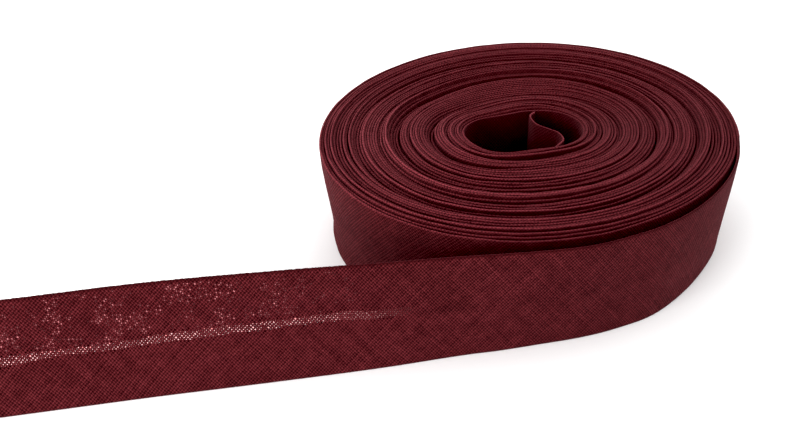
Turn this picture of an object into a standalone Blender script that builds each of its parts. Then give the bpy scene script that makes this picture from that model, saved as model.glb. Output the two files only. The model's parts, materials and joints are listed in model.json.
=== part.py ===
# Roll of bias binding, stood on its edge: the wound roll with an open eye, its loose outer turn
# that runs off as a tail, and its loose inner end in the eye.
# Sizes are in millimetres round the roll's own axis; MM turns them into Blender's metres.

import bpy
import bmesh
import math
from mathutils import Vector

MM = 0.001

# The tape
TAPE_WIDTH = 20.0
SHEET = 1.0
PIECE_GAP = 0.35

# The rim of the wound roll is an oval whose long axis is turned from +X
RIM_MEAN = 38.65
RIM_OVAL = 1.89
RIM_TURN = math.radians(35.6)

# The eye is a smaller oval, off the roll's axis and a little pear-shaped
EYE_MEAN = 9.1
EYE_SHIFT, EYE_SHIFT_WAY = 1.36, math.radians(-111)
EYE_OVAL, EYE_OVAL_WAY = 2.04, math.radians(17.6)
EYE_PEAR, EYE_PEAR_WAY = 0.46, math.radians(-33.8)
EYE_DIP, EYE_DIP_WAY, EYE_DIP_REACH = 0.9, math.radians(140), 0.1

# The roll's upper face: share of the way from eye to rim, and lift above the tape's width
RINGS = (
    # share, lift
    (0.000, -0.4),
    (0.035, 0.1),
    (0.090, -0.1),
    (0.145, -1.0),
    (0.185, 0.3),
    (0.228, -1.2),
    (0.280, -0.2),
    (0.360, 0.1),
    (0.430, -0.2),
    (0.485, -1.5),
    (0.545, 0.7),
    (0.598, -1.2),
    (0.640, 0.2),
    (0.700, 0.0),
    (0.752, -0.9),
    (0.800, -0.1),
    (0.870, 0.3),
    (0.930, 0.1),
    (0.968, -1.0),
    (0.990, 0.0),
)

# Rings past this share follow the rim where it is drawn in
RIM_SHARE = 0.93

# The roll's outer wall, rim to foot: it draws in, with a slight waist above the foot
WALL = (
    # height, outward
    (19.6, 0.00),
    (16.3, 0.05),
    (12.8, -0.35),
    (9.4, -0.93),
    (5.8, -1.50),
    (2.8, -1.85),
    (1.1, -1.65),
    (0.0, -1.80),
)

WALL_FULLEST = 16.3 / TAPE_WIDTH

# Path of the loose turn's outer face at its foot, from three o'clock round the front to the
# tail's cut end; lean is how far the upper edge stands outward of the foot
LOOSE_TURN = (
    # x, y, lean
    (37.3, -2.95, 1.70),
    (35.7, -10.9, 1.70),
    (31.9, -18.4, 1.90),
    (26.2, -25.3, 2.30),
    (19.6, -31.3, 2.25),
    (12.9, -35.4, 1.85),
    (6.7, -38.0, 1.80),
    (-0.4, -40.0, 1.30),
    (-7.3, -41.8, 0.40),
    (-14.2, -43.5, -0.50),
    (-27.7, -46.8, -2.10),
    (-44.1, -50.2, -3.60),
    (-63.2, -53.9, -4.60),
    (-81.8, -57.8, -4.50),
    (-98.0, -61.2, -4.50),
)
LOOSE_TURN_START = math.radians(-1.5)

# Middle line of the inner end, from the far side of the eye to its near side
INNER_END = (
    # x, y, lean
    (1.25, 6.05, 0.0),
    (0.75, 4.60, 0.0),
    (1.55, 2.60, 0.0),
    (3.80, 0.65, 0.0),
    (5.35, -0.65, 0.0),
    (6.00, -2.40, 0.0),
    (5.85, -3.80, 0.0),
    (4.90, -5.20, 0.0),
    (3.20, -6.35, 0.0),
)
INNER_END_DROP = 0.4

# How finely the meshes are cut
TURN_STEPS = 120
EYE_WALL_STEPS = 3
EYE_WALL_HEIGHT = 18.0
SHEET_LEVELS = 4
LOOSE_TURN_CUTS = 5
INNER_END_CUTS = 4

WINE_RED = (0.115, 0.012, 0.020, 1.0)
WINE_RED_TAIL = (0.130, 0.014, 0.022, 1.0)
WINE_RED_INNER = (0.090, 0.008, 0.014, 1.0)


def clear_scene():
    for old in list(bpy.data.objects):
        bpy.data.objects.remove(old, do_unlink=True)


def cloth(name, colour):
    material = bpy.data.materials.new(name)
    material.use_nodes = True
    shader = material.node_tree.nodes["Principled BSDF"]
    shader.inputs["Base Color"].default_value = colour
    shader.inputs["Roughness"].default_value = 0.85
    shader.inputs["Metallic"].default_value = 0.0
    return material


def rim_radius(angle):
    return RIM_MEAN + RIM_OVAL * math.cos(2 * (angle - RIM_TURN))


def eye_radius(angle):
    return (EYE_MEAN
            + EYE_SHIFT * math.cos(angle - EYE_SHIFT_WAY)
            + EYE_OVAL * math.cos(2 * (angle - EYE_OVAL_WAY))
            + EYE_PEAR * math.cos(3 * (angle - EYE_PEAR_WAY)))


def eye_dip(angle):
    # the innermost turns sit lower on the far left side of the eye
    return EYE_DIP * max(0.0, math.cos(angle - EYE_DIP_WAY)) ** 2


def catmull_rom(rows, cuts):
    # a smooth curve through the rows, each stretch cut into equal steps
    points = [Vector(row) for row in rows]
    points = [2 * points[0] - points[1]] + points + [2 * points[-1] - points[-2]]
    curve = []
    for i in range(1, len(points) - 2):
        before, start, end, after = points[i - 1:i + 3]
        for cut in range(cuts):
            t = cut / cuts
            curve.append(0.5 * (2 * start + (end - before) * t
                                + (2 * before - 5 * start + 4 * end - after) * t ** 2
                                + (3 * start - before - 3 * end + after) * t ** 3))
    curve.append(points[-2])
    return curve


def along(curve, i):
    # direction of the path in plan at point i
    step = curve[min(i + 1, len(curve) - 1)] - curve[max(i - 1, 0)]
    return Vector((step.x, step.y)).normalized()


def loose_turn_inside(curve):
    # angle and radius of the loose turn's inner face, round the roll's axis, at the height
    # where the roll's wall is fullest
    inside = []
    for i, point in enumerate(curve):
        way = along(curve, i)
        outward = Vector((-way.y, way.x))
        edge = Vector((point.x, point.y)) + outward * (point.z * WALL_FULLEST - SHEET)
        inside.append((math.atan2(edge.y, edge.x), edge.length))
    return inside


def wound_radius(angle, inside):
    # the rim, drawn in where the loose turn lies against the roll
    radius = rim_radius(angle)
    if not -math.pi / 2 < angle <= LOOSE_TURN_START:
        return radius
    nearest = min(inside, key=lambda row: abs(row[0] - angle))
    return min(radius, nearest[1] - PIECE_GAP)


def mesh_object(name, mesh, material):
    piece = bpy.data.objects.new(name, mesh)
    bpy.context.collection.objects.link(piece)
    mesh.materials.append(material)
    mesh.shade_smooth()
    mesh.set_sharp_from_angle(angle=math.radians(35))
    return piece


def closed_loft(name, sections, ring_of_sections, material):
    # joins like sections, each a closed loop of points, into one closed body
    shape = bmesh.new()
    loops = [[shape.verts.new(Vector(point) * MM) for point in section] for section in sections]
    count = len(sections[0])
    pairs = len(loops) if ring_of_sections else len(loops) - 1
    for i in range(pairs):
        here, there = loops[i], loops[(i + 1) % len(loops)]
        for j in range(count):
            k = (j + 1) % count
            shape.faces.new((here[j], here[k], there[k], there[j]))
    if not ring_of_sections:
        shape.faces.new(loops[0])
        shape.faces.new(reversed(loops[-1]))
    bmesh.ops.recalc_face_normals(shape, faces=shape.faces)
    mesh = bpy.data.meshes.new(name)
    shape.to_mesh(mesh)
    shape.free()
    return mesh_object(name, mesh, material)


def wound_roll(inside):
    sections = []
    for step in range(TURN_STEPS):
        angle = math.pi - 2 * math.pi * step / TURN_STEPS
        way = Vector((math.cos(angle), math.sin(angle), 0))
        eye = eye_radius(angle)
        rim = wound_radius(angle, inside)
        profile = []
        for level in range(EYE_WALL_STEPS):
            profile.append((eye, EYE_WALL_HEIGHT * level / EYE_WALL_STEPS))
        for share, lift in RINGS:
            dip = eye_dip(angle) * max(0.0, 1 - share / EYE_DIP_REACH)
            outer = eye + (rim_radius(angle) - eye) * min(share, RIM_SHARE)
            outer += (rim - outer) * max(0.0, share - RIM_SHARE) / (1 - RIM_SHARE)
            profile.append((outer, TAPE_WIDTH + lift - dip))
        for height, outward in WALL:
            profile.append((rim + outward, height))
        sections.append([way * radius + Vector((0, 0, height)) for radius, height in profile])
    return closed_loft("wound_roll", sections, True, cloth("wound_cloth", WINE_RED))


def standing_sheet(name, curve, height, outside, material):
    # a strip stood on its edge along the path; outside is the share of its thickness that
    # lies outward of the path
    sections = []
    for i, point in enumerate(curve):
        way = along(curve, i)
        outward = Vector((-way.y, way.x, 0))
        lean = point.z
        rise = math.sqrt(height ** 2 - lean ** 2)
        thick = SHEET * height / rise
        foot = Vector((point.x, point.y, 0)) + outward * thick * outside
        outer, inner = [], []
        for level in range(SHEET_LEVELS):
            share = level / (SHEET_LEVELS - 1)
            here = foot + outward * lean * share + Vector((0, 0, rise * share))
            outer.append(here)
            inner.append(here - outward * thick)
        sections.append(outer + inner[::-1])
    return closed_loft(name, sections, False, material)


def stand_on_origin(pieces):
    # the origin is under the middle of the whole object, on the surface that it stands on
    corners = [vertex.co for piece in pieces for vertex in piece.data.vertices]
    middle_x = (min(c.x for c in corners) + max(c.x for c in corners)) / 2
    middle_y = (min(c.y for c in corners) + max(c.y for c in corners)) / 2
    for piece in pieces:
        piece.location = (-middle_x, -middle_y, 0)


def build():
    clear_scene()
    turn_path = catmull_rom(LOOSE_TURN, LOOSE_TURN_CUTS)
    end_path = catmull_rom(INNER_END, INNER_END_CUTS)
    roll = wound_roll(loose_turn_inside(turn_path))
    tail = standing_sheet("outer_tail", turn_path, TAPE_WIDTH, 0.0,
                          cloth("tail_cloth", WINE_RED_TAIL))
    inner = standing_sheet("inner_end", end_path, TAPE_WIDTH - INNER_END_DROP, 0.5,
                           cloth("inner_cloth", WINE_RED_INNER))
    stand_on_origin([roll, tail, inner])


build()
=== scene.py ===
# Roll of bias binding: one long folded tape, wound on its edge round an open eye, with its loose
# outer turn run off as a tail. Lengths are in millimetres round the roll's own axis, unless noted.

import bpy
import json
import math
import numpy as np
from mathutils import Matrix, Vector


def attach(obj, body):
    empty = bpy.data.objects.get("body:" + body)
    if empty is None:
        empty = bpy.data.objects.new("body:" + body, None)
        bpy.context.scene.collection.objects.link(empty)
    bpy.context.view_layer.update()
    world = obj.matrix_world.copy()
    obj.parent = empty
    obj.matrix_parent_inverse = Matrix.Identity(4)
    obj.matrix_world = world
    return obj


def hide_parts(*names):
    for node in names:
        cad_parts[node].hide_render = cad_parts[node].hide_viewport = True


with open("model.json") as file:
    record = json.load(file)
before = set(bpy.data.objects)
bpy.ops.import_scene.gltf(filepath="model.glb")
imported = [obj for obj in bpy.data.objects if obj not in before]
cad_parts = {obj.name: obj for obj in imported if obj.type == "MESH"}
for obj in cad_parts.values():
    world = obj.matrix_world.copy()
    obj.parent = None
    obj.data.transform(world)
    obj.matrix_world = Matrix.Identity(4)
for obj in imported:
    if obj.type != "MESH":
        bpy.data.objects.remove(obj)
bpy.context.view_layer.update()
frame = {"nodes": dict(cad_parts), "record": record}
print("frame loaded:", sorted(frame["nodes"]))

mm = 0.001
eyeToFoot = 24.0       # the record's mount is on the turns' edges, this far behind the axis
footSpot = next(m for m in frame["record"]["mounts"] if m["name"] == "roll_foot")["pos_m"]
axisX, axisY = footSpot[0], footSpot[1] - eyeToFoot * mm


def inFrame(x, y, z):
    # from millimetres round the roll's axis to metres in the frame
    return (axisX + x * mm, axisY + y * mm, z * mm)


# Camera and light

view = {
    "back": 209.35,        # from the roll's axis, towards the front
    "left": 24.02,
    "height": 134.88,
    "pitch": 32.85,        # degrees down
    "lens": 56.28,
    "sensor": 36.0,
}


def addCamera():
    data = bpy.data.cameras.new("camera")
    data.lens = view["lens"]
    data.sensor_width = view["sensor"]
    data.clip_start = 0.01
    data.clip_end = 20.0
    camera = bpy.data.objects.new("camera", data)
    camera.location = inFrame(-view["left"], -view["back"], view["height"])
    camera.rotation_euler = (math.radians(90 - view["pitch"]), 0, 0)
    bpy.context.collection.objects.link(camera)
    bpy.context.scene.camera = camera


studio = {
    "horizon": 1.95,       # white walls all round, under a darker ceiling that leaves hollows dark
    "zenith": 1.30,
    "leftward": 0.13,      # share by which the left wall is brighter, and the right one darker
    "backward": 0.36,      # and the back one brighter than the front
    "floor": 0.86,
    "floorGlow": 0.09,     # the table is lit from below, so that the ground stays white
    "floorReach": 2.0,     # metres each way
    "floorDrop": 0.00005,  # metres under the tape's lower edges, so that the two don't share a place
    "softbox": 1.48,       # watts
    "softboxSize": 0.20,   # metres
    "softboxAt": (-0.25, -0.30, 0.10),
    "contrast": 0.85,      # below 1 deepens the shadows, as a printed product picture does
    "black": 0.0115,       # what is darker than this prints black
}


def addSoftbox(name, at, size, watts):
    data = bpy.data.lights.new(name, "AREA")
    data.energy = watts
    data.size = size
    lamp = bpy.data.objects.new(name, data)
    lamp.location = at
    lamp.rotation_euler = (-Vector(at)).to_track_quat("-Z", "Y").to_euler()
    bpy.context.collection.objects.link(lamp)


def addStudio():
    scene = bpy.context.scene
    scene.view_settings.view_transform = "Standard"
    scene.view_settings.gamma = studio["contrast"]
    scene.view_settings.use_curve_mapping = True
    scene.view_settings.curve_mapping.black_level = (studio["black"],) * 3
    scene.view_settings.curve_mapping.update()
    world = bpy.data.worlds.new("studio")
    world.use_nodes = True
    tree = world.node_tree
    sky = tree.nodes["Background"]
    sky.inputs["Color"].default_value = (1, 1, 1, 1)
    place = tree.nodes.new("ShaderNodeTexCoord")
    split = tree.nodes.new("ShaderNodeSeparateXYZ")
    rise = tree.nodes.new("ShaderNodeMapRange")
    rise.inputs["To Min"].default_value = studio["horizon"]
    rise.inputs["To Max"].default_value = studio["zenith"]
    tree.links.new(place.outputs["Generated"], split.inputs[0])
    tree.links.new(split.outputs[2], rise.inputs["Value"])
    strength = rise.outputs[0]
    for axis, gain in ((0, -studio["leftward"]), (1, studio["backward"])):
        side = tree.nodes.new("ShaderNodeMath")
        side.operation = "MULTIPLY_ADD"
        tree.links.new(split.outputs[axis], side.inputs[0])
        side.inputs[1].default_value = gain
        side.inputs[2].default_value = 1.0
        both = tree.nodes.new("ShaderNodeMath")
        both.operation = "MULTIPLY"
        tree.links.new(strength, both.inputs[0])
        tree.links.new(side.outputs[0], both.inputs[1])
        strength = both.outputs[0]
    tree.links.new(strength, sky.inputs["Strength"])
    scene.world = world
    addSoftbox("softbox", studio["softboxAt"], studio["softboxSize"], studio["softbox"])

    reach = studio["floorReach"]
    mesh = bpy.data.meshes.new("floor")
    corners = [(-reach, -reach, 0), (reach, -reach, 0), (reach, reach, 0), (-reach, reach, 0)]
    mesh.from_pydata(corners, [], [(0, 1, 2, 3)])
    floor = bpy.data.objects.new("floor", mesh)
    floor.location.z = -studio["floorDrop"]
    bpy.context.collection.objects.link(floor)
    paper = bpy.data.materials.new("paper")
    paper.use_nodes = True
    shader = paper.node_tree.nodes["Principled BSDF"]
    shader.inputs["Base Color"].default_value = (studio["floor"],) * 3 + (1,)
    shader.inputs["Roughness"].default_value = 0.9
    shader.inputs["Specular IOR Level"].default_value = 0.1
    shader.inputs["Emission Color"].default_value = (1, 1, 1, 1)
    shader.inputs["Emission Strength"].default_value = studio["floorGlow"]
    mesh.materials.append(paper)


addCamera()
addStudio()
print("camera and studio ready")


# Shape of the folded tape, in a cut straight across it

tape = {
    "width": 20.0,         # finished, once both edges are folded in
    "flap": 9.58,          # folded to the back along each edge, so that they don't quite meet
    "flapVaries": 0.35,    # each way, so that the slit between them is narrow and wide by turns
    "thick": 0.42,         # over the two layers
    "foldTakes": 0.35,     # a fold's crown lies this share of that further across the cloth
}

# how far the lower and the upper flap's edge lie above their place, from the cut end back
slitSwing = (
    # mm from the cut end, lower, upper
    (0, -0.45, -1.10),
    (32, -0.20, -0.52),
    (62, 0.50, 0.25),
    (95, 0.00, 0.00),
)


def roundFold(steps):
    # half a circle from the back layer round to the face layer
    return [math.pi * i / steps for i in range(steps + 1)]


def tapeSection(faceHeights, footSteps, crownSteps):
    # points from the lower flap's cut edge round to the upper flap's, as side (-1 back, 1 face)
    # and height; then the distance across the cut cloth
    half = tape["thick"] / 2
    top = tape["width"]
    points = [(-1, tape["flap"]), (-1, tape["flap"] / 2)]
    points += [(-math.cos(a), half * (1 - math.sin(a))) for a in roundFold(footSteps)]
    points += [(1, height) for height in faceHeights]
    points += [(math.cos(a), top - half * (1 - math.sin(a))) for a in roundFold(crownSteps)]
    points += [(-1, top - tape["flap"] / 2), (-1, top - tape["flap"])]
    side, height = np.array(points).T
    steps = np.hypot(np.diff(side) * half, np.diff(height))
    return side, height, np.concatenate(([0], np.cumsum(steps)))


# Path of the whole tape, from its inner end out to the tail's cut end

roll = {
    "turns": 53.86,
    "startAngle": -55.0,              # where the inner end joins the first turn; it winds clockwise
    "rim": 38.78,                     # radii, and degrees or way and reach after them
    "rimOval": 1.89,
    "rimTurn": 35.6,
    "eye": 8.95,
    "eyeShift": (0.79, -128.0),
    "eyeOval": (2.04, 17.6),
    "eyePear": (0.46, -33.8),
    "eyeTip": (1.1, 172.0, 38.0),     # drawn out to a point on the left
    "drift": (0.018, -80.0),          # middle turns lie this share further out on this side
    "drawIn": 1.8,                    # the rim overhangs the foot by this
    "rimDent": (0.85, -85.0, 80.0),   # the rim lies this much further in along the front
    "tuck": (0.5, -175.0, 75.0),      # the wall under the rim lies this much further in on the left
    "frontTuck": (0.9, -80.0, 70.0),  # and along the front
    "station": 0.65,                  # mm of tape from one cut across it to the next
    "innerStation": 0.3,
    "looseStation": 0.12,
    "innerDrop": 0.35,                # the inner end's cut is lower than the tape's width by this
    "leaving": 14.0,                  # mm in which the loose turn takes on its own shape
    "eyeTurns": 1.1,                  # first turns that show in the eye
    "partedAt": (0.27, 0.62),         # shares where the turns after those are parted into pieces
}

# sides of the roll, as way and reach in degrees
frontSide = (-90, 80)
farSide = (95, 150)

# how far the wall bows out past a straight line from foot to rim
wallBow = (
    # height, outward
    (0.0, 0.00),
    (1.1, 0.05),
    (2.8, -0.30),
    (5.8, -0.22),
    (9.4, 0.02),
    (12.8, 0.30),
    (16.3, 0.38),
    (18.6, 0.15),
    (20.0, 0.00),
)

# how much of the wall's tuck is left
wallTuck = (
    # height, share
    (0, 1),
    (15, 1),
    (20, 0),
)

# middle line of the inner end, from the far side of the eye to where the first turn starts
innerEnd = (
    # x, y
    (1.75, 7.30),
    (0.76, 5.75),
    (1.50, 2.75),
    (3.81, 0.64),
    (5.45, -0.68),
    (6.18, -2.56),
    (6.15, -3.60),
    (5.55, -4.90),
)

# foot of the loose turn's face, from where it leaves the roll to the tail's cut end; lean is how
# far the upper edge stands outward of the foot
looseTurn = (
    # x, y, lean
    (35.7, -10.9, 1.70),
    (31.9, -18.4, 1.90),
    (26.6, -25.8, 1.75),
    (20.2, -32.2, 1.20),
    (13.1, -36.1, 1.20),
    (6.8, -38.5, 1.35),
    (-0.4, -40.4, 0.90),
    (-7.3, -42.1, 0.15),
    (-14.2, -43.5, -0.50),
    (-27.7, -46.8, -2.10),
    (-44.1, -50.2, -3.60),
    (-63.2, -53.9, -4.60),
    (-81.8, -57.8, -4.50),
    (-97.9, -61.15, -4.50),
)

# how the roll's upper face rises and falls, in mm, along four ways out from the eye
faceLift = (
    # share, front, left, far, right
    (0.000, -0.10, -0.45, -0.35, -0.10),
    (0.060, 0.05, 0.15, 0.15, 0.05),
    (0.145, -0.35, 0.00, 0.05, -0.15),
    (0.185, 0.35, 0.25, 0.05, 0.25),
    (0.228, -0.15, -0.70, -0.90, -0.25),
    (0.340, 0.00, 0.10, -0.15, 0.00),
    (0.440, 0.05, 0.00, 0.60, 0.10),
    (0.487, -0.60, -0.75, -0.85, -0.55),
    (0.548, 0.45, 0.35, 0.45, 0.50),
    (0.600, -0.35, -0.20, -0.20, -0.20),
    (0.670, 0.00, 0.10, 0.38, 0.10),
    (0.752, -0.50, -0.20, -0.50, -0.30),
    (0.800, 0.35, 0.00, 0.10, 0.10),
    (0.870, 0.10, -0.10, 0.30, 0.10),
    (0.945, -0.20, 0.10, 0.20, 0.00),
    (1.000, 0.25, 0.00, -0.10, 0.00),
)

# seams where two turns lie apart, each strongest one way and gone beyond its reach
seams = (
    # share, strongest way, reach, opening, how far the turn outside it sinks
    (0.024, 115, 85, 0.42, 0.00),
    (0.100, -60, 90, 0.10, 0.10),
    (0.147, -60, 80, 0.26, 0.50),
    (0.150, 130, 90, 0.10, 0.20),
    (0.222, -172, 90, 0.24, 0.50),
    (0.243, -165, 80, 0.20, 0.35),
    (0.230, 20, 80, 0.10, 0.20),
    (0.285, -130, 70, 0.08, 0.10),
    (0.330, -40, 70, 0.10, 0.15),
    (0.395, -160, 90, 0.10, 0.15),
    (0.468, 180, 90, 0.20, 0.35),
    (0.487, -90, 170, 0.30, 0.60),
    (0.487, 90, 170, 0.30, 0.60),
    (0.598, -90, 110, 0.24, 0.50),
    (0.620, 90, 90, 0.16, 0.30),
    (0.655, 90, 90, 0.16, 0.30),
    (0.690, -120, 80, 0.10, 0.15),
    (0.735, -60, 70, 0.14, 0.20),
    (0.752, -75, 170, 0.24, 0.45),
    (0.752, 105, 170, 0.20, 0.40),
    (0.822, 180, 65, 0.20, 0.35),
    (0.846, 174, 65, 0.16, 0.30),
    (0.872, -165, 45, 0.09, 0.12),
    (0.893, -155, 50, 0.10, 0.15),
    (0.912, -170, 40, 0.12, 0.10),
    (0.932, -160, 50, 0.10, 0.15),
    (0.955, -165, 45, 0.09, 0.12),
    (0.835, -20, 45, 0.14, 0.15),
    (0.858, -12, 50, 0.12, 0.20),
    (0.882, -22, 45, 0.12, 0.10),
    (0.905, -10, 55, 0.12, 0.20),
    (0.930, -20, 55, 0.16, 0.20),
    (0.955, -8, 60, 0.12, 0.20),
    (0.972, -90, 95, 0.26, 0.45),
    (0.985, -55, 55, 0.14, 0.20),
)

# single turns that stand proud
ridges = (
    # share, strongest way, reach, lift, turns wide
    (0.012, 150, 120, 0.20, 1.0),
    (0.050, 110, 90, 0.45, 0.8),
    (0.180, -60, 120, 0.25, 0.8),
    (0.545, -90, 170, 0.45, 0.7),
    (0.545, 90, 170, 0.45, 0.7),
    (0.632, 60, 110, 0.25, 0.6),
    (0.710, -100, 110, 0.20, 0.6),
    (0.998, 180, 170, 0.10, 0.8),
)

# places on the upper face where the turns lie evenly and close together
evenPlaces = (
    # share, half width, way, reach, how even
    (0.865, 0.055, -80, 50, 0.60),
    (0.335, 0.090, 105, 65, 0.85),
    (0.945, 0.050, 90, 85, 0.90),
    (0.030, 0.040, 120, 60, 0.80),
    (0.720, 0.030, 180, 50, 0.60),
    (0.680, 0.035, 20, 60, 0.60),
)

# sides where the folds are painted paler: a painted highlight on the sides where more light falls
litSides = (
    # how much, way, reach
    (0.75, 95, 110),
    (0.35, 180, 60),
)

uneven = {
    "seed": 11,
    "turnLift": 0.29,      # from turn to turn
    "frontLift": 0.7,      # share by which the front is rougher
    "arcLift": 0.14,       # along part of a turn
    "arcs": 3.3,           # such parts in a turn
    "rippleLift": 0.05,    # short ripples along an edge
    "ripple": 3.0,         # mm from one to the next
    "lean": 0.09,          # upper edges in and out, each way
    "leanArcs": 4.1,       # parts of a turn that lean their own way
    "seamWide": 0.2,       # turns in which a seam opens
    "sinkWide": 0.5,       # turns that sink beside it
    "fullProud": 0.45,     # mm of lift that gives a turn the full rubbing and painted highlight
    "proudWide": 0.45,     # turns
    "turnHighlight": 0.5,      # how much rubbing and painted highlight the highest other turns get
    "evenHighlight": 0.30,     # and those that lie evenly
    "openTurns": 1.15,     # first and last turns, which don't lie between two others
    "openFade": 0.125,     # turns
    "evenBetween": 0.2,    # share of the depth between turns that is left where they lie evenly
    "swell": 0.10,         # share by which a fold is fatter or thinner
    "swellLength": 9.0,    # mm
    "fill": 0.20,          # and fatter by this where the turns lie evenly
    "pressed": 0.14,       # and by this away from the front, where no gaps are left
    "footFill": 0.45,      # lower folds are fuller by this, so that the turns close at the foot
    "footHeight": 4.0,     # mm up to where that ends
    "edgeLong": 7.0,       # mm of a flap's edge that goes its own way
    "edgeShort": 1.9,
    "threadRidge": 0.04,   # threads that cross the loose turn's upper fold
    "threadPitch": 0.25,   # mm
}


def near(way, centre, reach):
    # 1 at the centre way, easing to 0 where it is reach degrees off
    off = np.abs((way - centre + 180) % 360 - 180)
    return 0.5 + 0.5 * np.cos(np.pi * np.clip(off / reach, 0, 1))


def wander(along, seed):
    # smooth random numbers from about -1 to 1, one for each whole step along, eased between
    steps = np.random.default_rng(seed).uniform(-1, 1, int(along.max()) + 3)
    low = np.floor(along).astype(int)
    part = along - low
    ease = part * part * (3 - 2 * part)
    return steps[low] * (1 - ease) + steps[low + 1] * ease


def mixedWander(broad, broadSeed, fine, fineSeed):
    # mostly the broad one, with some of the fine one over it
    broadShare = 0.6
    return broadShare * wander(broad, broadSeed) + (1 - broadShare) * wander(fine, fineSeed)


def eyeRadius(way):
    shift, oval, pear, tip = roll["eyeShift"], roll["eyeOval"], roll["eyePear"], roll["eyeTip"]
    return (roll["eye"]
            + shift[0] * np.cos(np.radians(way - shift[1]))
            + oval[0] * np.cos(2 * np.radians(way - oval[1]))
            + pear[0] * np.cos(3 * np.radians(way - pear[1]))
            + tip[0] * near(way, tip[1], tip[2]))


def rimRadius(way):
    return roll["rim"] + roll["rimOval"] * np.cos(2 * np.radians(way - roll["rimTurn"]))


def smoothCurve(rows, cuts):
    # a curve through the rows, each stretch cut into equal steps
    rows = np.array(rows, float)
    rows = np.vstack((2 * rows[0] - rows[1], rows, 2 * rows[-1] - rows[-2]))
    curve = []
    for i in range(1, len(rows) - 2):
        before, start, end, after = rows[i - 1:i + 3]
        for cut in range(cuts):
            t = cut / cuts
            curve.append(0.5 * (2 * start + (end - before) * t
                                + (2 * before - 5 * start + 4 * end - after) * t ** 2
                                + (3 * start - before - 3 * end + after) * t ** 3))
    curve.append(rows[-2])
    return np.array(curve)


def runAlong(plan):
    # distance of each point along its path
    return np.concatenate(([0], np.cumsum(np.hypot(*np.diff(plan, axis=0).T))))


def nearestTo(place, plan):
    # number of the path's point that is nearest the place
    return int(np.argmin(np.hypot(*(plan - place).T)))


def evenSteps(curve, step):
    # the same curve with its points one step apart, measured in plan
    run = runAlong(curve[:, :2])
    at = np.linspace(0, run[-1], int(run[-1] / step) + 1)
    return np.stack([np.interp(at, run, column) for column in curve.T], 1)


def outwardOf(plan):
    # the tape's face side, to the left of its path
    step = np.gradient(plan, axis=0)
    step /= np.hypot(*step.T)[:, None]
    return np.stack((-step[:, 1], step[:, 0]), 1)


def offTurn(turn, way, share, strongest, between):
    # turns out from the turn (between 0) or the seam (between a half) that passes nearest this
    # share at its strongest way
    phase = (roll["startAngle"] - strongest) / 360 + between
    middle = round(share * roll["turns"] - phase) + phase
    ahead = ((strongest - way + 180) % 360 - 180) / 360
    return turn - middle - ahead


def broadLift(share, way):
    at, front, left, far, right = np.array(faceLift).T
    across, along = np.cos(np.radians(way)), np.sin(np.radians(way))
    return (np.maximum(-along, 0) ** 2 * np.interp(share, at, front)
            + np.maximum(-across, 0) ** 2 * np.interp(share, at, left)
            + np.maximum(along, 0) ** 2 * np.interp(share, at, far)
            + np.maximum(across, 0) ** 2 * np.interp(share, at, right))


def tapeUsed(turn):
    # mm of tape in so many turns
    growth = (roll["rim"] - roll["eye"]) / (2 * roll["turns"])
    return 2 * math.pi * (roll["eye"] * turn + growth * turn ** 2)


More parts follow.
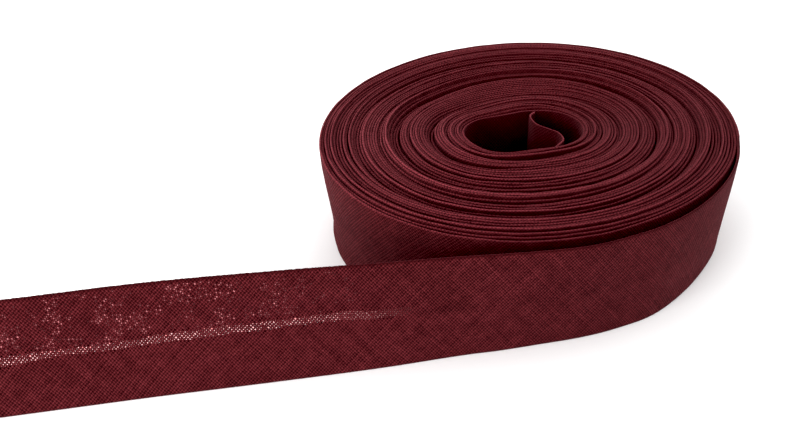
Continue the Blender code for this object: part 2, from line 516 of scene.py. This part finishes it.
def woundStations(turn):
    # what the tape does at each turn count: plan of its upper edge and foot, height of the upper
    # edge, how far the wall's bow and tuck reach it, how deep it lies between two other turns, which
    # also sets its painted shade, how full its folds are and how much rubbing and painted highlight
    # its folds get
    way = roll["startAngle"] - 360 * turn
    share = turn / roll["turns"]
    lift = broadLift(share, way)
    spread = 0
    proud = 0
    for at, strongest, reach, opening, sink in seams:
        off = offTurn(turn, way, at, strongest, 0.5)
        strength = near(way, strongest, reach)
        opened = 0.5 + 0.5 * np.tanh(off / uneven["seamWide"])
        spread = spread + opening * strength * (opened - share)
        lift = lift - sink * strength * np.exp(-((off - 0.5) / uneven["sinkWide"]) ** 2)
    for at, strongest, reach, height, wide in ridges:
        off = offTurn(turn, way, at, strongest, 0.0)
        strength = near(way, strongest, reach)
        lift = lift + height * strength * np.exp(-(off / wide) ** 2)
        crest = np.exp(-(off / uneven["proudWide"]) ** 2)
        proud = proud + height / uneven["fullProud"] * strength * crest
    rough = 1
    for at, half, strongest, reach, even in evenPlaces:
        inside = np.exp(-((share - at) / half) ** 2) * near(way, strongest, reach)
        rough = rough * (1 - even * inside)
    seed = uneven["seed"]
    used = tapeUsed(turn)
    ripple = used / uneven["ripple"]
    ruffled = rough * (1 + uneven["frontLift"] * near(way, *frontSide))
    lift = lift + ruffled * (uneven["turnLift"] * wander(turn, seed)
                             + uneven["arcLift"] * wander(turn * uneven["arcs"], seed + 1)
                             + uneven["rippleLift"] * wander(ripple, seed + 2))
    drift, driftWay = roll["drift"]
    drifted = drift * np.sin(np.pi * share) ** 2 * np.cos(np.radians(way - driftWay))
    across = rimRadius(way) - eyeRadius(way)
    dent, dentWay, dentReach = roll["rimDent"]
    radius = eyeRadius(way) + across * (share + drifted) + spread
    radius = radius - dent * near(way, dentWay, dentReach) * share ** 3
    leaning = mixedWander(turn * uneven["leanArcs"], seed + 3, ripple, seed + 4)
    radius = radius + rough * uneven["lean"] * leaning
    foot = radius - spread - roll["drawIn"] * share ** 2
    out = np.stack((np.cos(np.radians(way)), np.sin(np.radians(way))), 1)
    tuck = sum(deep * near(way, at, reach) for deep, at, reach in (roll["tuck"], roll["frontTuck"]))
    fromEnds = np.minimum(turn, roll["turns"] - turn)
    enclosed = np.clip((fromEnds - uneven["openTurns"]) / uneven["openFade"], 0, 1)
    depth = uneven["evenBetween"] + (1 - uneven["evenBetween"]) * rough
    proud = proud + uneven["turnHighlight"] * rough * np.maximum(0, wander(turn, seed))
    rubbedAndLit = sum(pale * near(way, at, reach) for pale, at, reach in litSides)
    return {
        "top": out * radius[:, None],
        "foot": out * foot[:, None],
        "height": tape["width"] + lift,
        "bow": share ** 2,
        "tuck": tuck * share ** 2,
        "between": enclosed * depth * (1 - near(way, *farSide)),
        "fill": uneven["fill"] * (1 - rough) + uneven["pressed"] * (1 - near(way, *frontSide)),
        "proud": np.clip(proud + uneven["evenHighlight"] * (1 - rough) + rubbedAndLit, 0, 1),
    }


def wholePath():
    # stations of the whole tape, as woundStations gives them, with the station numbers where the
    # wound turns start and end
    counts = np.linspace(0, roll["turns"], 5000)
    used = tapeUsed(counts)
    turn = np.interp(np.linspace(0, used[-1], int(used[-1] / roll["station"])), used, counts)
    wound = woundStations(turn)
    curveCuts = 10

    # inner end: upright, and led into the first turn, with a row halfway between its own rows
    leadCuts = 6
    lead = np.vstack((smoothCurve(innerEnd, 2 * leadCuts), wound["top"][:6:2]))
    start = evenSteps(smoothCurve(lead[::leadCuts], curveCuts), roll["innerStation"])[:-2]
    start = start[:nearestTo(wound["top"][0], start)]
    none = np.zeros(len(start))
    inner = {
        "top": start,
        "foot": start,
        "height": np.linspace(tape["width"] - roll["innerDrop"], wound["height"][0], len(start)),
        "bow": none,
        "tuck": none,
        "between": none,
        "fill": none,
        "proud": none + 1,
    }

    # loose turn: goes on from the roll's wall, a few stations past its end, and leaves it slowly
    step = roll["looseStation"]
    turnRows = [woundRow(2.0), woundRow(0.0)] + list(looseTurn)
    turnCurve = evenSteps(smoothCurve(turnRows, curveCuts), step)
    outward = outwardOf(turnCurve[:, :2])
    lean = turnCurve[:, 2]
    footLine = turnCurve[:, :2] - outward * tape["thick"] / 2
    topLine = footLine + outward * lean[:, None]
    first = nearestTo(wound["top"][-1], topLine) + 3
    run = np.arange(len(topLine) - first) * step
    leaving = np.clip(1 - run / roll["leaving"], 0, 1) ** 2
    level = np.sqrt(tape["width"] ** 2 - lean[first:] ** 2)
    level = level + leaving * (wound["height"][-1] - level[0])
    threadRidges = wander(run / uneven["threadPitch"], uneven["seed"] + 6)
    none = np.zeros(len(run))
    loose = {
        "top": topLine[first:],
        "foot": footLine[first:],
        "height": level + uneven["threadRidge"] * threadRidges,
        "bow": leaving,
        "tuck": none,
        "between": none,
        "fill": none,
        "proud": none,
    }
    whole = {key: np.concatenate((inner[key], wound[key], loose[key])) for key in wound}
    whole["out"] = outwardOf(whole["top"])
    whole["run"] = runAlong(whole["top"])
    return whole, len(start), len(start) + len(turn)


def woundRow(back):
    # a row for the loose turn's table, on the last wound turn, so many degrees before its end
    turn = np.array([roll["turns"] - back / 360])
    here = woundStations(turn)
    top, foot = here["top"][0], here["foot"][0]
    face = foot + foot / np.hypot(*foot) * tape["thick"] / 2
    return (face[0], face[1], float(np.hypot(*(top - foot))))


def sweepTape(name, stations, section, material):
    # the folded section carried along its stations, as one open sheet of cloth
    foot, top, out, run = (stations[key] for key in ("foot", "top", "out", "run"))
    side, level, across = section
    level = np.tile(level, (len(run), 1))
    fromCut = path["run"][-1] - run
    back, lowSwing, highSwing = np.array(slitSwing).T
    for column, seed, swing in ((0, 7, lowSwing), (-1, 8, highSwing)):
        edge = mixedWander(run / uneven["edgeLong"], uneven["seed"] + seed,
                           run / uneven["edgeShort"], seed)
        level[:, column] += tape["flapVaries"] * edge + np.interp(fromCut, back, swing)
    share = level / tape["width"]
    plan = foot[:, None, :] * (1 - share[:, :, None]) + top[:, None, :] * share[:, :, None]
    bowAt = np.interp(level, *np.array(wallBow).T)
    tuckAt = np.interp(level, *np.array(wallTuck).T)
    swell = uneven["swell"] * wander(run / uneven["swellLength"], uneven["seed"] + 5)
    halfThick = (1 + swell + stations["fill"]) * tape["thick"] / 2
    low = np.clip(1 - level / uneven["footHeight"], 0, 1)
    full = 1 + uneven["footFill"] * stations["between"][:, None] * low
    shift = (stations["bow"][:, None] * bowAt - stations["tuck"][:, None] * tuckAt
             + side[None, :] * full * halfThick[:, None])
    plan = plan + out[:, None, :] * shift[:, :, None]
    z = stations["height"][:, None] * share
    points = np.concatenate((plan, z[:, :, None]), 2) * mm + np.array((axisX, axisY, 0))
    rows, columns = z.shape
    index = np.arange(rows * columns).reshape(rows, columns)
    faces = np.stack((index[:-1, :-1], index[1:, :-1], index[1:, 1:], index[:-1, 1:]), -1)
    faces = faces.reshape(-1, 4)

    mesh = bpy.data.meshes.new(name)
    mesh.vertices.add(rows * columns)
    mesh.vertices.foreach_set("co", points.ravel().astype(np.float32))
    mesh.loops.add(faces.size)
    mesh.loops.foreach_set("vertex_index", faces.ravel().astype(np.int32))
    mesh.polygons.add(len(faces))
    mesh.polygons.foreach_set("loop_start", np.arange(0, faces.size, 4, dtype=np.int32))
    mesh.update(calc_edges=True)
    flat = np.stack((np.repeat(run, columns), np.tile(across, rows)), 1) * mm
    layer = mesh.uv_layers.new(name="cloth")
    layer.data.foreach_set("uv", flat[faces.ravel()].ravel().astype(np.float32))
    perStation = {
        "proud": stations["proud"],
        "between": stations["between"],
        "slitLow": level[:, 0],
        "slitHigh": level[:, -1],
    }
    for label, values in perStation.items():
        kept = mesh.attributes.new(label, "FLOAT", "POINT")
        kept.data.foreach_set("value", np.repeat(values, columns).astype(np.float32))
    mesh.shade_smooth()
    mesh.validate()
    mesh.materials.append(material)
    piece = bpy.data.objects.new(name, mesh)
    bpy.context.collection.objects.link(piece)
    print(name, "has", 2 * len(faces), "triangles and", round(run[-1] - run[0]), "mm of tape")
    return piece


# Cloth: plain weave cut on the bias, so both sets of threads run slantwise across the tape

weave = {
    "spacing": (0.493, 0.418),     # mm from thread to thread in each set
    "slant": (46.1, 50.4),         # degrees that each set leans from the tape's length, opposite ways
    "seeds": (3.1, 8.7),           # of each set's own unevenness
    "threadWidth": 0.68,           # of the spacing, along the slit between the flaps
    "thinnest": 0.12,              # half a thread is never less than this
    "closer": 0.015,               # wider than that by this where the cloth is double
    "lowerCloser": 5.0,            # and by so many times more in the lower half
    "slitPatches": 0.60,           # how much the width changes along the slit
    "closePatches": 0.20,          # and from place to place everywhere
    "threadVaries": 0.16,
    "crossingVaries": 0.28,
    "threadStrays": 0.20,
    "slubWeight": 2.0,             # thick places along a thread, beside its own thickness
    "slubApart": 5.37,             # so that neighbouring threads have different ones
    "slubPitch": 0.12,             # of a step from one crossing to the next
    "ownTone": 0.25,
    "under": 0.35,                 # height of a thread where it passes under another, as a share
    "middleHeight": 0.27,          # a thread is neither lighter nor darker here
    "contrast": 1.05,              # of the painted shade and highlight between a thread's crown and its sides
    "threadTone": 0.34,            # some threads are lighter than others, here and there
    "cloudTone": 0.20,
    "mottleTone": 0.40,
    "sway": 2.2,                   # threads, each way together, from place to place
    "specks": 0.62,                # share of the crossings above the slit that get a painted speck of light, at most
    "specksWithin": 0.072,         # metres of the tail's cut end
    "specksFade": 0.020,           # metres
    "specksAbove": 0.4,            # mm from the upper flap's edge
    "speckGroups": (0.38, 3.6),    # where a group of them starts in its pattern, and how sharply
    "speckGain": 1.6,
    "speckOpening": 0.04,          # how much thinner threads are beside those
    "speckGlowTint": (0.38, 0.145, 0.155, 1),
    "crownClosed": 0.6,            # mm each side of a fold's crown without holes
    "doubleFrom": 0.1,             # mm past a flap's edge
    "doubleSharp": 4.0,
    "slitWithin": 0.078,           # metres of the tail's cut end, where the slit lets light through
    "slitFade": 0.018,             # metres
    "slitSeenBelow": 0.1,          # mm outside the slit from where it is still seen through
    "slitSeenAbove": 1.05,
    "slitSharp": 5.0,
    "slitOpening": (3.0, 2.0),     # holes go on further than that by two thirds of a mm
    "slitGlowCover": 0.60,              # share of an open crossing of the slit that the painted glow covers
    "slitGlowTint": (0.72, 0.27, 0.27, 1),
    "foldReach": 0.42,             # mm each side of a fold's crown that is pressed, rubbed and given a painted highlight
    "proudHighlight": 0.60,              # how much more rubbing and painted highlight a turn gets that stands proud, lies evenly or lies on a side painted paler
    "rubHollow": 0.35,             # share of the rubbing and painted highlight that reaches between the threads
    "bump": 0.00015,               # metres
    "bumpStrength": 0.8,
    # thread colours, from the painted shade between the threads through the cloth's middle tone to the
    # painted highlight on their crowns
    "dark": (0.026, 0.0036, 0.0048, 1),
    "middle": (0.084, 0.0145, 0.0175, 1),
    "light": (0.180, 0.0385, 0.0460, 1),
    # rubbed wear with a painted highlight over it
    "wornHighlight": (0.300, 0.0660, 0.0820, 1),
    "between": 0.50,               # painted shade: how much darker the colour is painted between two turns
    "betweenGain": 1.4,            # how soon that starts below a fold
    "fray": 0.30,                  # mm of ragged threads along the cut edges
    "sheen": 0.11,
    "sheenRoughness": 0.5,
    "sheenTint": (1.0, 0.42, 0.48, 1),
    "roughness": 0.85,
    "specular": 0.04,
}

# patterns that change from place to place over the cloth
patterns = {
    # seed, scale, detail
    "swayOne": (0.0, 60.0, 1.0),
    "swayTwo": (20.0, 60.0, 1.0),
    "close": (4.0, 160.0, 2.0),
    "specks": (5.0, 230.0, 1.0),
    "cloud": (9.0, 45.0, 3.0),
    "mottle": (6.0, 420.0, 2.0),
    "slit": (2.0, 110.0, 1.0),
}
slubGrain = (1.0, 2.0)       # scale, detail
frayGrain = (2600.0, 1.0)

# how each cloth differs: whether it is see-through, how much rubbing and painted highlight its
# folds get, how light and how smooth they are pressed, and how much painted shade darkens its faces
cloths = {
    "open_cloth": (True, 0.0, 0.12, 0.75, 0.0),
    "wound_cloth": (False, 0.40, 0.55, 0.16, 0.0),
    "eye_cloth": (False, 0.60, 0.60, 0.40, 0.55),
}


def nodeKit(tree):
    # short calls that add a node and return its first output
    def fill(sockets, values):
        for socket, value in zip(sockets, values):
            if isinstance(value, (int, float, tuple)):
                socket.default_value = value
            else:
                tree.links.new(value, socket)

    def maths(operation, *values):
        node = tree.nodes.new("ShaderNodeMath")
        node.operation = operation
        fill(node.inputs, values)
        return node.outputs[0]

    def plus(first, second):
        return maths("ADD", first, second)

    def minus(first, second):
        return maths("SUBTRACT", first, second)

    def times(first, second):
        return maths("MULTIPLY", first, second)

    def clamped(value):
        return maths("MINIMUM", maths("MAXIMUM", value, 0.0), 1.0)

    def noise(x, y, z, scale, detail):
        place = tree.nodes.new("ShaderNodeCombineXYZ")
        fill(place.inputs, (x, y, z))
        node = tree.nodes.new("ShaderNodeTexNoise")
        node.inputs["Scale"].default_value = scale
        node.inputs["Detail"].default_value = detail
        tree.links.new(place.outputs[0], node.inputs["Vector"])
        return node.outputs["Fac"]

    def chancePair(x, y):
        # one steady random number for each crossing
        node = tree.nodes.new("ShaderNodeTexWhiteNoise")
        node.noise_dimensions = "2D"
        place = tree.nodes.new("ShaderNodeCombineXYZ")
        fill(place.inputs, (x, y))
        tree.links.new(place.outputs[0], node.inputs["Vector"])
        return node.outputs["Value"]

    def chance(x, seed):
        # one steady random number for each thread
        node = tree.nodes.new("ShaderNodeTexWhiteNoise")
        node.noise_dimensions = "1D"
        tree.links.new(plus(x, seed), node.inputs["W"])
        return node.outputs["Value"]

    def blend(amount, first, second):
        node = tree.nodes.new("ShaderNodeMix")
        node.data_type = "RGBA"
        tree.links.new(amount, node.inputs["Factor"])
        fill((node.inputs[6], node.inputs[7]), (first, second))
        return node.outputs[2]

    def kept(label):
        # a value that the mesh keeps at its points
        node = tree.nodes.new("ShaderNodeAttribute")
        node.attribute_name = label
        return node.outputs["Fac"]

    return maths, plus, minus, times, clamped, noise, chance, chancePair, blend, kept


def bindingCloth(name):
    seeThrough, rubbedAndLit, crown, smooth, deep = cloths[name]
    material = bpy.data.materials.new(name)
    material.use_nodes = True
    tree = material.node_tree
    shader = tree.nodes["Principled BSDF"]
    maths, plus, minus, times, clamped, noise, chance, chancePair, blend, kept = nodeKit(tree)
    uvMap = tree.nodes.new("ShaderNodeUVMap")
    uvMap.uv_map = "cloth"
    split = tree.nodes.new("ShaderNodeSeparateXYZ")
    tree.links.new(uvMap.outputs[0], split.inputs[0])
    along, across = split.outputs[0], split.outputs[1]

    def patches(label):
        # a pattern's values, as much below nought as above it
        return minus(noise(along, across, *patterns[label]), 0.5)

    # thread counts of both sets, in a weave that lies a little unevenly
    def counted(which, way, pattern):
        spacing, slant = weave["spacing"][which] * mm, math.radians(weave["slant"][which])
        sway = times(patches(pattern), weave["sway"])
        level = plus(times(along, math.sin(slant) / spacing),
                     times(across, way * math.cos(slant) / spacing))
        return plus(level, sway)

    def threads(count, crossing, seed):
        # one set of threads: which thread, how far off its middle, how thick and how light it is
        number = maths("FLOOR", count)
        own = minus(chance(number, seed), 0.5)
        placed = minus(minus(count, number), 0.5)
        offset = plus(placed, times(own, weave["threadStrays"]))
        slub = minus(noise(times(number, weave["slubApart"]), times(crossing, weave["slubPitch"]),
                           seed, *slubGrain), 0.5)
        thick = times(plus(times(slub, weave["slubWeight"]), own), weave["threadVaries"])
        tone = plus(times(own, weave["ownTone"]), slub)
        return number, offset, thick, tone

    one, two = counted(0, 1, "swayOne"), counted(1, -1, "swayTwo")
    numberOne, offOne, thickOne, toneOne = threads(one, two, weave["seeds"][0])
    numberTwo, offTwo, thickTwo, toneTwo = threads(two, one, weave["seeds"][1])

    # threads lie apart along the slit between the flaps, more in some stretches, and close elsewhere
    lowFold = tape["flap"] + tape["thick"] * tape["foldTakes"]
    highFold = lowFold + tape["width"]
    rise = minus(maths("DIVIDE", across, mm), lowFold)
    aboveLow = minus(rise, kept("slitLow"))
    belowHigh = minus(kept("slitHigh"), rise)
    inSlit = maths("MINIMUM", aboveLow, belowHigh)
    double = clamped(times(minus(-weave["doubleFrom"], inSlit), weave["doubleSharp"]))
    stretch = minus(noise(along, 0.0, *patterns["slit"]), 0.5)
    slit = times(times(stretch, weave["slitPatches"]), minus(1.0, double))
    lower = maths("LESS_THAN", rise, tape["width"] / 2)
    closer = times(times(double, weave["closer"]), plus(1.0, times(lower, weave["lowerCloser"])))
    patch = times(patches("close"), -weave["closePatches"])
    luck = chancePair(maths("FLOOR", plus(one, 0.5)), maths("FLOOR", plus(two, 0.5)))
    patch = plus(patch, times(minus(luck, 0.5), weave["crossingVaries"]))

    # painted light: near the cut end, a few crossings above the slit are painted as pale pink
    # specks, for light that comes through both layers
    fromCut = minus(path["run"][-1] * mm, along)
    belowCrown = maths("LESS_THAN", rise, tape["width"] - weave["crownClosed"])
    groupsFrom, groupsSharp = weave["speckGroups"]
    grouped = clamped(times(minus(noise(along, across, *patterns["specks"]), groupsFrom), groupsSharp))
    nearCut = clamped(maths("DIVIDE", minus(weave["specksWithin"], fromCut), weave["specksFade"]))
    aboveSlit = times(clamped(minus(rise, plus(kept("slitHigh"), weave["specksAbove"]))), belowCrown)
    speckChance = times(times(times(grouped, nearCut), aboveSlit), weave["specks"])
    lucky = maths("DIVIDE", minus(speckChance, luck), weave["specks"])
    speck = clamped(times(lucky, weave["speckGain"]))
    patch = minus(patch, times(maths("GREATER_THAN", speck, 0.0), weave["speckOpening"]))
    halfWidth = times(plus(plus(plus(closer, slit), patch), weave["threadWidth"]), 0.5)

    def roundSide(offset, thick):
        # height over a thread's round cross-section, 1 at its crown
        half = maths("MAXIMUM", plus(halfWidth, times(thick, 0.5)), weave["thinnest"])
        part = maths("DIVIDE", offset, half)
        return maths("SQRT", maths("MAXIMUM", minus(1.0, times(part, part)), 0.0))

    def overAndUnder(place, number, turned):
        # 1 where this thread is on top, 0 where it is under
        angle = times(plus(minus(place, 0.5 - turned), number), math.pi)
        return plus(0.5, times(maths("COSINE", angle), 0.5))

    def threadHeight(offset, thick, place, number, turned):
        top = times(overAndUnder(place, number, turned), 1 - weave["under"])
        return times(roundSide(offset, thick), plus(weave["under"], top))

    heightOne = threadHeight(offOne, thickOne, two, numberOne, 0.0)
    heightTwo = threadHeight(offTwo, thickTwo, one, numberTwo, 1.0)
    height = maths("MAXIMUM", heightOne, heightTwo)
    oneOnTop = maths("GREATER_THAN", heightOne, heightTwo)

    # painted shade and highlight: crowns of the threads are painted light, their sides and the gaps
    # between them dark, where the weave's shade falls
    tone = plus(times(oneOnTop, toneOne), times(minus(1.0, oneOnTop), toneTwo))
    clouded = plus(times(patches("cloud"), weave["cloudTone"]),
                   times(patches("mottle"), weave["mottleTone"]))
    lightness = plus(times(minus(height, weave["middleHeight"]), weave["contrast"]),
                     plus(times(tone, weave["threadTone"]), clouded))

    # the crowns of the folds are pressed smoother and rubbed lighter, with a painted highlight over
    # the rubbing, more so where they stand proud
    def nearLine(line):
        away = maths("ABSOLUTE", minus(across, line * mm))
        return maths("MAXIMUM", minus(1.0, maths("DIVIDE", away, weave["foldReach"] * mm)), 0.0)

    onFold = maths("MAXIMUM", nearLine(lowFold), nearLine(highFold))
    pressed = times(onFold, smooth)
    lightness = plus(times(lightness, minus(1.0, pressed)), times(pressed, crown))
    lowHalf = clamped(times(lightness, 2.0))
    highHalf = clamped(minus(times(lightness, 2.0), 1.0))
    colour = blend(highHalf, blend(lowHalf, weave["dark"], weave["middle"]), weave["light"])

    # painted shade: between the turns, and deep in the eye, the cloth is painted darker, where shade
    # falls
    if not seeThrough:
        offFold = clamped(times(minus(1.0, onFold), weave["betweenGain"]))
        paintedShade = clamped(plus(times(kept("between"), weave["between"]), deep))
        colour = blend(times(offFold, paintedShade), colour, weave["dark"])
    # rubbed wear and painted highlight on the folds' crowns, stronger on proud and evenly lying turns
    # and on the sides painted paler
    rubHighlight = times(times(onFold, onFold), plus(rubbedAndLit, times(kept("proud"), weave["proudHighlight"])))
    rubHighlight = times(rubHighlight, plus(weave["rubHollow"], times(height, 1 - weave["rubHollow"])))
    colour = blend(clamped(rubHighlight), colour, weave["wornHighlight"])

    if seeThrough:
        # the face is open between the threads, the flaps behind it are closed; cut edges are ragged
        inFromEdge = maths("MINIMUM", across, minus((lowFold + highFold) * mm, across))
        ragged = times(noise(along, 0.0, across, *frayGrain), weave["fray"] * 2 * mm)
        notFrayed = maths("GREATER_THAN", inFromEdge, ragged)
        onFace = times(maths("GREATER_THAN", rise, weave["crownClosed"]), belowCrown)
        hole = times(maths("LESS_THAN", height, 0.01), onFace)

        # light is seen through the slit alone, where the flaps don't close the holes
        seenThrough = maths("MINIMUM", plus(aboveLow, weave["slitSeenBelow"]),
                            plus(belowHigh, weave["slitSeenAbove"]))
        overSlit = clamped(times(seenThrough, weave["slitSharp"]))
        slitEnd = clamped(maths("DIVIDE", minus(weave["slitWithin"], fromCut), weave["slitFade"]))
        # painted light: open crossings over the slit are painted a pale pink glow, for light shining
        # through the threads, and partly covered
        colour = blend(times(hole, times(overSlit, slitEnd)), colour, weave["slitGlowTint"])
        # painted light: the specks are painted, and stay closed
        colour = blend(times(hole, speck), colour, weave["speckGlowTint"])
        opens, opensFrom = weave["slitOpening"]
        byTheSlit = times(slitEnd, clamped(plus(times(seenThrough, opens), opensFrom)))
        openHere = times(byTheSlit, maths("LESS_THAN", speck, 0.001))
        through = times(openHere, minus(1.0, times(overSlit, weave["slitGlowCover"])))
        faceAlpha = minus(1.0, times(hole, through))
        tree.links.new(times(notFrayed, faceAlpha), shader.inputs["Alpha"])
    tree.links.new(colour, shader.inputs["Base Color"])
    shader.inputs["Roughness"].default_value = weave["roughness"]
    shader.inputs["Specular IOR Level"].default_value = weave["specular"]
    shader.inputs["Sheen Weight"].default_value = weave["sheen"]
    shader.inputs["Sheen Roughness"].default_value = weave["sheenRoughness"]
    shader.inputs["Sheen Tint"].default_value = weave["sheenTint"]
    bump = tree.nodes.new("ShaderNodeBump")
    bump.inputs["Strength"].default_value = weave["bumpStrength"]
    bump.inputs["Distance"].default_value = weave["bump"]
    tree.links.new(height, bump.inputs["Height"])
    tree.links.new(bump.outputs[0], shader.inputs["Normal"])
    return material


print("laying out the tape's path")
path, firstWound, firstLoose = wholePath()

print("making the cloth")
openCloth = bindingCloth("open_cloth")
woundCloth = bindingCloth("wound_cloth")
eyeCloth = bindingCloth("eye_cloth")


def stretchOfTape(name, first, last, section, material, node, slot):
    # one piece of the tape between two stations, in place of the frame's node, which it hides
    stations = {key: values[first:last + 1] for key, values in path.items()}
    piece = sweepTape(name, stations, section, material)
    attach(piece, "root")
    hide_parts(node)


# more cuts across the face where more of it shows
plainSection = tapeSection((2.8, 12.8), 2, 5)
wallSection = tapeSection((1.1, 2.8, 5.8, 12.8, 16.3, 18.6), 2, 5)
tailSection = tapeSection((0.6, 1.1, 2.8, 5.8, 9.4, 12.8, 16.3, 18.6), 4, 5)

lastStation = len(path["run"]) - 1
woundRun = path["run"][firstWound:] - path["run"][firstWound]
eyeEnd = firstWound + int(np.searchsorted(woundRun, tapeUsed(roll["eyeTurns"])))
woundCount = firstLoose - firstWound
firstCut, secondCut = [firstWound + round(woundCount * part) for part in roll["partedAt"]]

pieces = (
    # name, first and last station, section, cloth, node, slot
    ("inner_end_tape", 0, firstWound, plainSection, eyeCloth, "inner_end", "inner_cloth"),
    ("eye_turn", firstWound, eyeEnd, plainSection, eyeCloth, "wound_roll", "wound_cloth"),
    ("wound_turns_inner", eyeEnd, firstCut, plainSection, woundCloth, "wound_roll", "wound_cloth"),
    ("wound_turns_middle", firstCut, secondCut, wallSection, woundCloth, "wound_roll", "wound_cloth"),
    ("wound_turns_outer", secondCut, firstLoose, wallSection, woundCloth, "wound_roll", "wound_cloth"),
    ("outer_tail_tape", firstLoose, lastStation, tailSection, openCloth, "outer_tail", "tail_cloth"),
)
for values in pieces:
    stretchOfTape(*values)
print("tape laid")
